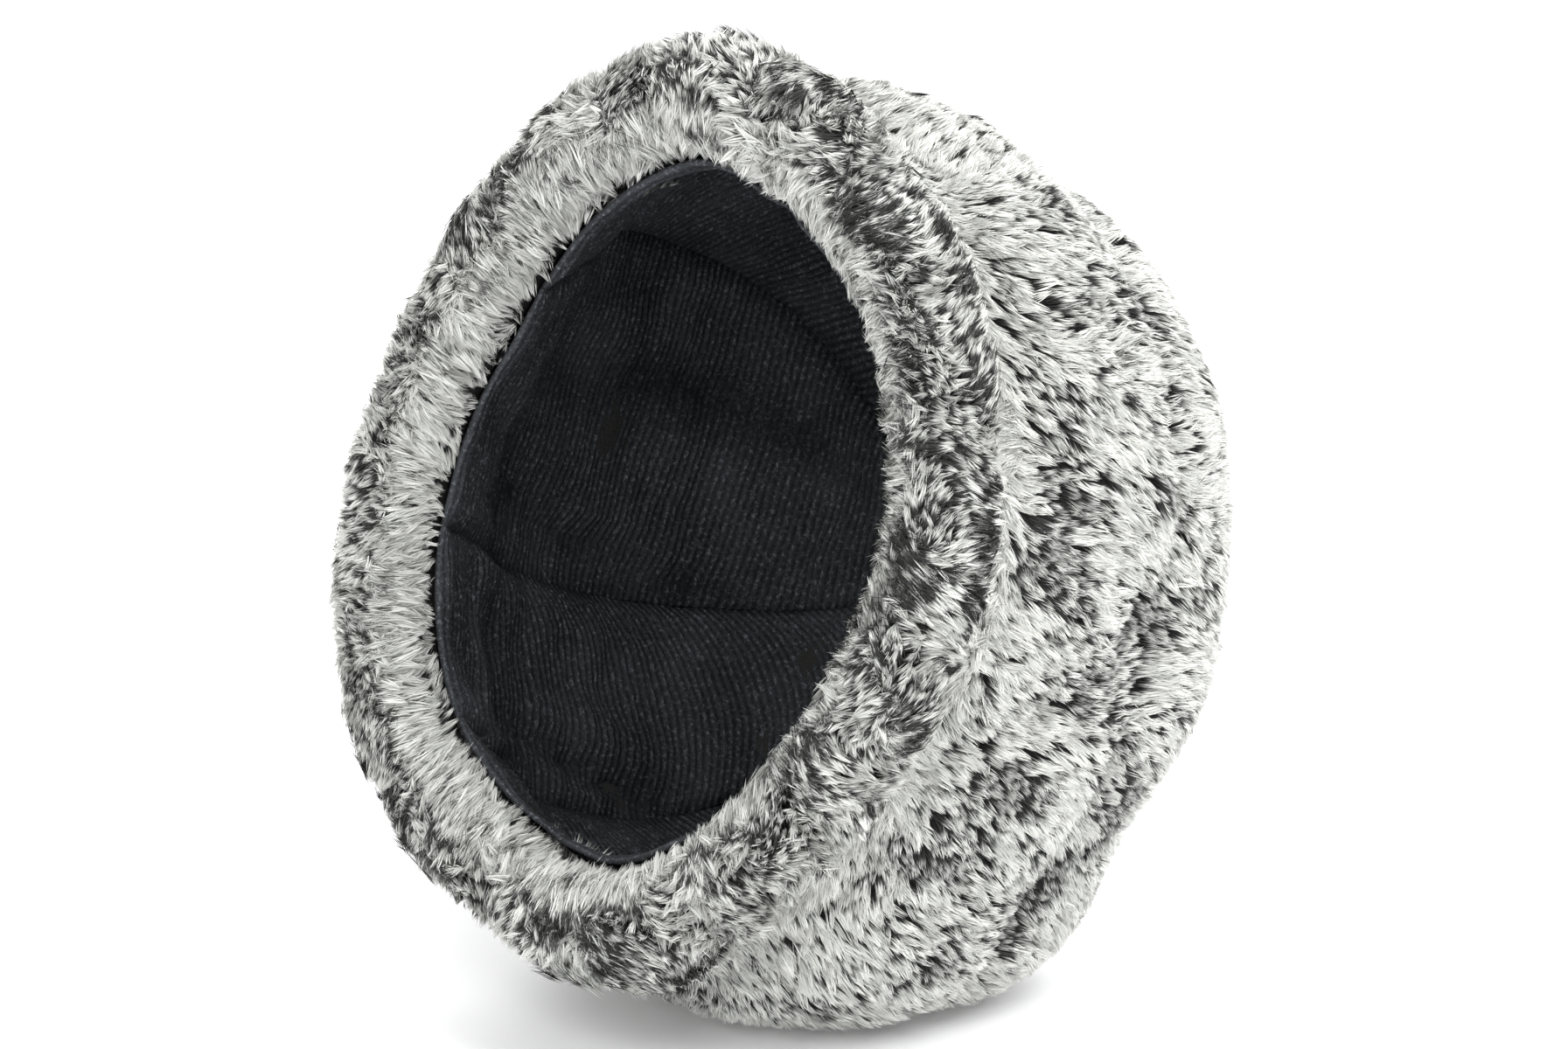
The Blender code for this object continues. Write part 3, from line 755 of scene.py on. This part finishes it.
# %% [markdown]
# ## The lining
#
# The lining is cut in six wedges that meet at the crown's end. Its knit has ribs that run round the
# head, 2.4 mm apart. Within a wedge they bow a little, so that they meet in an arrow at each seam. The
# ribs are modelled: the rows of each wedge's grid follow them, so a few rows for each rib are enough.

# %% Lining material
KNIT_DARK = (0.0065, 0.0072, 0.0086, 1.0)
KNIT_LIGHT = (0.190, 0.206, 0.232, 1.0)
KNIT_ROUGHNESS = 0.85
KNIT_SHINE = 0.3
FUZZ_SCALE, FLECK_SCALE, PATCH_SCALE = 1100.0, 700.0, 42.0
FUZZ_DETAIL, FLECK_DETAIL = 3.0, 4.0
FUZZ_BREAKUP, FLECK_BREAKUP = 0.75, 0.8
# RIB_TOP_HIGHLIGHT is a painted highlight: the ribs' tops are lighter than the grooves, and the flecks
# are painted brighter on the tops too
RIB_TOP_HIGHLIGHT, FUZZ_LIGHT, PATCH_LIGHT = 0.16, 0.35, 0.3
DARKENING = 0.14
FLECKS_ON_RIB_HIGHLIGHT, FLECKS_BETWEEN = 0.75, 0.25           # a rib's top has both shares of them
FLECK_START, FLECK_END = 0.50, 0.72
FUZZ_HEIGHT = 0.0008
FUZZ_STRENGTH = 0.9


def knit_material():
    """Brushed black knit: the ribs' tops are painted lighter than the grooves, as painted highlight and
    shade, and a fine fuzz catches the light.
    """
    recipe = Recipe("lining_knit", KNIT_ROUGHNESS)
    rib = recipe.read("rib")
    fuzz = recipe.noise(FUZZ_SCALE, FUZZ_DETAIL, FUZZ_BREAKUP)
    flecks = recipe.noise(FLECK_SCALE, FLECK_DETAIL, FLECK_BREAKUP).eased(FLECK_START, FLECK_END)
    patches = recipe.noise(PATCH_SCALE) - 0.5
    # painted highlight on the ribs' tops and painted shade in the grooves between them
    share = rib * RIB_TOP_HIGHLIGHT + fuzz * FUZZ_LIGHT - DARKENING + patches * PATCH_LIGHT
    share = share + flecks * (rib * FLECKS_ON_RIB_HIGHLIGHT + FLECKS_BETWEEN)
    recipe.feed(recipe.shader.inputs["Base Color"], recipe.mix(share.clamped(), KNIT_DARK, KNIT_LIGHT))
    recipe.feed(recipe.shader.inputs["Normal"], recipe.bump(fuzz, FUZZ_HEIGHT, FUZZ_STRENGTH))
    recipe.shader.inputs["Specular IOR Level"].default_value = KNIT_SHINE
    return recipe.material


knit = knit_material()
print("lining material", knit.name)

# %% Feel the hollow
LINING_HEART_DEPTH = 0.075
LINING_RINGS = 170
FRONT_BLUR = 20
LINING_BLUR = (2, 3)
SMALLEST_SHARE = 0.004               # of the way from the crown's end to the lip, for the first ring
WEDGES = 6
LINING_NODES = ["lining_gore_%d" % number for number in range(1, WEDGES + 1)]
TUCK = 0.0035                        # how far its edge is turned under the fur
TUCK_LENGTH = 0.0016
TUCK_AHEAD = 0.0008
SWELL = 0.0070                       # how far it draws back behind the roll, where it's loose
SWELL_STARTS, SWELL_FULL = 0.0165, 0.031
SWELL_WANES, SWELL_ENDS = 0.036, 0.062

face_counts = [len(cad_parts[name].data.polygons) for name in LINING_NODES]
wedge_of_face = np.repeat(np.arange(WEDGES), face_counts)
lining_tree = tree_of(*LINING_NODES)
lining_heart = OPENING + DEEP * LINING_HEART_DEPTH
front_middle = on_hat(0 * level, 0 * level, 0 * level + LINING_START_DEPTH)
front_reach = blur(fill_gaps(feel(lining_tree, front_middle, outward)), 0, FRONT_BLUR)
lip_polar = math.pi - np.arctan2(front_reach, LINING_HEART_DEPTH - LINING_START_DEPTH)
ring_share = np.linspace(SMALLEST_SHARE, 1.0, LINING_RINGS)[:, None]
lining_polar = ring_share * lip_polar
lining_way = np.sin(lining_polar)[..., None] * outward + np.cos(lining_polar)[..., None] * DEEP
lining_reach = np.full(lining_polar.shape, np.nan)
wedge = np.full(lining_polar.shape, -1)
for i in range(LINING_RINGS):
    for j in range(AROUND):
        hit = lining_tree.ray_cast(Vector(lining_heart), Vector(lining_way[i, j]), FAR)
        if hit[0] is not None:
            lining_reach[i, j] = hit[3]
            wedge[i, j] = wedge_of_face[hit[2]]
lining_reach = blur(fill_gaps(lining_reach), *LINING_BLUR, ring=False)
hollow = lining_heart + lining_way * lining_reach[..., None]
behind_lip = depth_of(hollow)
swell = soft_step(behind_lip, SWELL_STARTS, SWELL_FULL) - soft_step(behind_lip, SWELL_WANES, SWELL_ENDS)
tuck = np.exp(-((behind_lip - LINING_START_DEPTH + TUCK_AHEAD) / TUCK_LENGTH) ** 2)
hollow = hollow + outward * (SWELL * swell + TUCK * tuck)[..., None]
print("hollow felt; widest", round(float(lining_reach.max()), 4))

# %% Find the seams
SEAM_DEGREES = (5, 70, 134, 193, 231, 298)           # about where each wedge begins, from the side on
SEAM_SEARCH = 18
SEAM_BLUR = 8                        # rings on each side of one that its place is averaged over


def seam_columns():
    """For each seam and ring, the column of the ray net where one wedge ends and the next begins."""
    found_seams = np.zeros((WEDGES, LINING_RINGS))
    for number, degrees in enumerate(SEAM_DEGREES):
        last = degrees + SEAM_SEARCH
        window = np.arange(degrees - SEAM_SEARCH, last) % AROUND
        found = (wedge[:, window] == number).sum(axis=1)
        missed = (wedge[:, window] < 0).sum(axis=1)
        row = np.pad(last - found - missed / 2, SEAM_BLUR, mode="edge")
        averaged = 2 * SEAM_BLUR + 1
        found_seams[number] = np.convolve(row, np.ones(averaged) / averaged, mode="valid")
    return found_seams


seams = seam_columns()
print("seams at", [int(v) for v in seams[:, -1] % AROUND], "degrees at the lip")

# %% Make the wedges
RIB_PITCH = 0.0024
RIB_HEIGHT = 0.00070
ROWS_PER_RIB = 4
WEDGE_COLUMNS = 14
shares = np.linspace(0, 1, WEDGE_COLUMNS + 1)        # of a wedge's width, at each column of its grid
RIB_BOW = 0.055
CLOTH = 0.0012
SEAM_WIDTH = 0.0022
SEAM_DIP = 0.0011
SEAM_REACH = 3                       # seam widths from the seam, beyond which nothing dips
# CREASE_SHADE is painted shade: how much of the ribs' painted highlight is taken away in a crease
RIB_LOSS_AT_SEAM, CREASE_SHADE = 0.7, 0.9
FINE_WAVE = Wave(size=0.00025, length=0.007, seed=60)
WIDE_WAVE = Wave(size=0.0007, length=0.024, seed=70)
Crease = namedtuple("Crease", "across_a down_a across_b down_b width depth")
CREASES = {                          # by wedge from 0 on, in shares of its width and its length
    2: [Crease(0.80, 0.74, 0.95, 0.34, 0.0042, 0.0034), Crease(0.30, 0.20, 0.42, 0.70, 0.009, 0.0016)],
    3: [Crease(0.66, 0.76, 0.99, 0.46, 0.0036, 0.0036)],
    1: [Crease(0.50, 0.20, 0.60, 0.72, 0.008, 0.0018)],
}
CREASE_START, CREASE_SPAN = 0.12, 0.76
CREASE_FADE = 0.6


def crease_mask(crease, across, down, width, length):
    """1 along a crease, fading to 0 beside it and at its ends."""
    start = np.array((crease.across_a * width, crease.down_a * length))
    line = np.array((crease.across_b * width, crease.down_b * length)) - start
    place = np.stack(np.broadcast_arrays(across * width, down * length), axis=-1) - start
    along = np.clip(place @ line / (line @ line), 0, 1)
    apart = np.linalg.norm(place - along[..., None] * line, axis=-1)
    ends = np.sin(math.pi * (CREASE_START + CREASE_SPAN * along)) ** CREASE_FADE
    return np.exp(-(apart / crease.width) ** 2) * ends


def lengths_along(line):
    """How far along a line of places each of them lies."""
    return np.concatenate(([0], np.cumsum(np.linalg.norm(np.diff(line, axis=0), axis=1))))


def lay_grid(number):
    """A smooth grid over one wedge, whose rows follow the ribs, and the number of its ribs."""
    start = seams[number]
    width = (seams[(number + 1) % WEDGES] - start) % AROUND
    lines = []
    for share in shares:
        columns = start + width * share
        lines.append(np.array([look_up(hollow, i, c % AROUND) for i, c in enumerate(columns)]))
    lengths = [lengths_along(line) for line in lines]
    length = float(np.mean([line_length[-1] for line_length in lengths]))
    ribs = round(length / RIB_PITCH)
    rows = np.linspace(0, 1, ribs * ROWS_PER_RIB + 1)
    places = np.empty((len(rows), len(shares), 3))
    for j, share in enumerate(shares):
        bow = RIB_BOW * (2 * share - 1) ** 2 * 4 * rows * (1 - rows)
        at = np.clip(rows + bow, 0, 1) * lengths[j][-1]
        for k in range(3):
            places[:, j, k] = np.interp(at, lengths[j], lines[j][:, k])
    return places, rows, ribs, length


def make_wedge(number):
    """One wedge of knit: its smooth grid, raised by ribs and waves and sunk by seams and creases, with
    the ribs' painted highlight and painted shade in the creases.
    """
    places, rows, ribs, length = lay_grid(number)
    inward = unit(np.cross(np.gradient(places, axis=0), np.gradient(places, axis=1)))
    if np.sum(inward * (lining_heart - places)) < 0:
        inward = -inward
    phase = rows * ribs * 2 * math.pi
    # the ribs' height, which is also used to paint their tops lighter as painted highlight
    rib = (0.5 - 0.5 * np.cos(phase))[:, None] * np.ones_like(shares)
    across = np.linalg.norm(places[:, -1] - places[:, 0], axis=1)[:, None]
    edge = np.minimum(shares, 1 - shares)[None] * across
    seam = np.exp(-(edge / SEAM_WIDTH) ** 2)
    wave = ripple(places, FINE_WAVE, number) + ripple(places, WIDE_WAVE, number)
    height = rib * RIB_HEIGHT * (1 - RIB_LOSS_AT_SEAM * seam) + wave * (1 - seam)
    height = height - SEAM_DIP * seam * (edge < SEAM_REACH * SEAM_WIDTH)
    for crease in CREASES.get(number, []):
        mask = crease_mask(crease, shares[None], rows[:, None], float(across.max()), length)
        height = height - crease.depth * mask
        # painted shade: the creases are painted darker by taking away the ribs' highlight there
        rib = rib * (1 - CREASE_SHADE * mask)
    places = places + inward * height[..., None]
    return places, rib, length, float(across.max())


def knit_piece(number):
    """Makes one wedge a piece with the thickness of its cloth, facing the hollow."""
    places, rib, length, width = make_wedge(number)
    rows, columns = places.shape[:2]
    index = np.arange(rows * columns).reshape(rows, columns)
    quads = np.stack((index[:-1, :-1], index[:-1, 1:], index[1:, 1:], index[1:, :-1]), axis=-1)
    mesh = bpy.data.meshes.new("lining_wedge_%d" % (number + 1))
    mesh.from_pydata(places.reshape(-1, 3).tolist(), [], quads.reshape(-1, 4).tolist())
    # the rib attribute carries the ribs' painted highlight and the creases' painted shade
    mesh.attributes.new("rib", "FLOAT", "POINT").data.foreach_set("value", rib.ravel())
    piece = bpy.data.objects.new(mesh.name, mesh)
    bpy.context.scene.collection.objects.link(piece)
    deselect_all()
    piece.select_set(True)
    bpy.context.view_layer.objects.active = piece
    facing = sum(p.normal.dot(Vector(lining_heart) - p.center) * p.area for p in mesh.polygons)
    if facing < 0:
        mesh.flip_normals()
    area = sum(p.area for p in mesh.polygons)
    thick = piece.modifiers.new("cloth", "SOLIDIFY")
    thick.thickness = CLOTH
    thick.offset = -1.0
    bpy.ops.object.modifier_apply(modifier="cloth")
    dress(piece, knit, [LINING_NODES[number]])
    min(area, width * length)
    print("  flat", round(width, 4), round(length, 4), "area", round(area, 5))


for number in range(WEDGES):
    knit_piece(number)

# %% [markdown]
# ## Floor and light
#
# The photograph is a studio picture on white, so the floor is nearly white and glows faintly, which
# keeps its far part from turning grey. A large soft lamp stands at the hat's right, a smaller one
# behind it at the left, and a weaker one above the camera, which lights the lining. The white world
# fills the shadows.

# %% Floor
FLOOR_SIZE = 14.0
FLOOR_ROUGHNESS = 0.9
FLOOR_COLOUR = (0.90, 0.90, 0.91, 1.0)
FLOOR_GLOW = 0.10
WHITE = (1.0, 1.0, 1.0, 1.0)

deselect_all()
bpy.ops.mesh.primitive_plane_add(size=FLOOR_SIZE, location=(0, 0, 0))
floor = bpy.context.object
floor.name = "floor"
floor_recipe = Recipe("floor_white", FLOOR_ROUGHNESS)
floor_recipe.shader.inputs["Base Color"].default_value = FLOOR_COLOUR
floor_recipe.shader.inputs["Emission Color"].default_value = WHITE
floor_recipe.shader.inputs["Emission Strength"].default_value = FLOOR_GLOW
floor.data.materials.append(floor_recipe.material)
print("floor", FLOOR_SIZE, "metres wide")

# %% Lamps and world
Lamp = namedtuple("Lamp", "name place size power")
WORLD_STRENGTH = 0.82
LAMPS = [
    Lamp("key", (1.1, 0.5, 1.6), 1.6, 36.0),
    Lamp("left", (-1.3, 0.5, 1.5), 0.9, 20.0),
    Lamp("front", (0.9, -1.5, 1.4), 0.9, 15.0),
]
for lamp in LAMPS:
    bpy.ops.object.light_add(type="AREA", location=lamp.place)
    light = bpy.context.object
    light.name = lamp.name
    light.data.size = lamp.size
    light.data.energy = lamp.power
    light.rotation_euler = (Vector(lamp.place) - AIM).to_track_quat("Z", "Y").to_euler()

world = bpy.data.worlds.new("white_world")
bpy.context.scene.world = world
world.use_nodes = True
world.node_tree.nodes["Background"].inputs["Color"].default_value = WHITE
world.node_tree.nodes["Background"].inputs["Strength"].default_value = WORLD_STRENGTH
bpy.context.scene.view_settings.view_transform = "Standard"
print("lamps", [lamp.name for lamp in LAMPS])
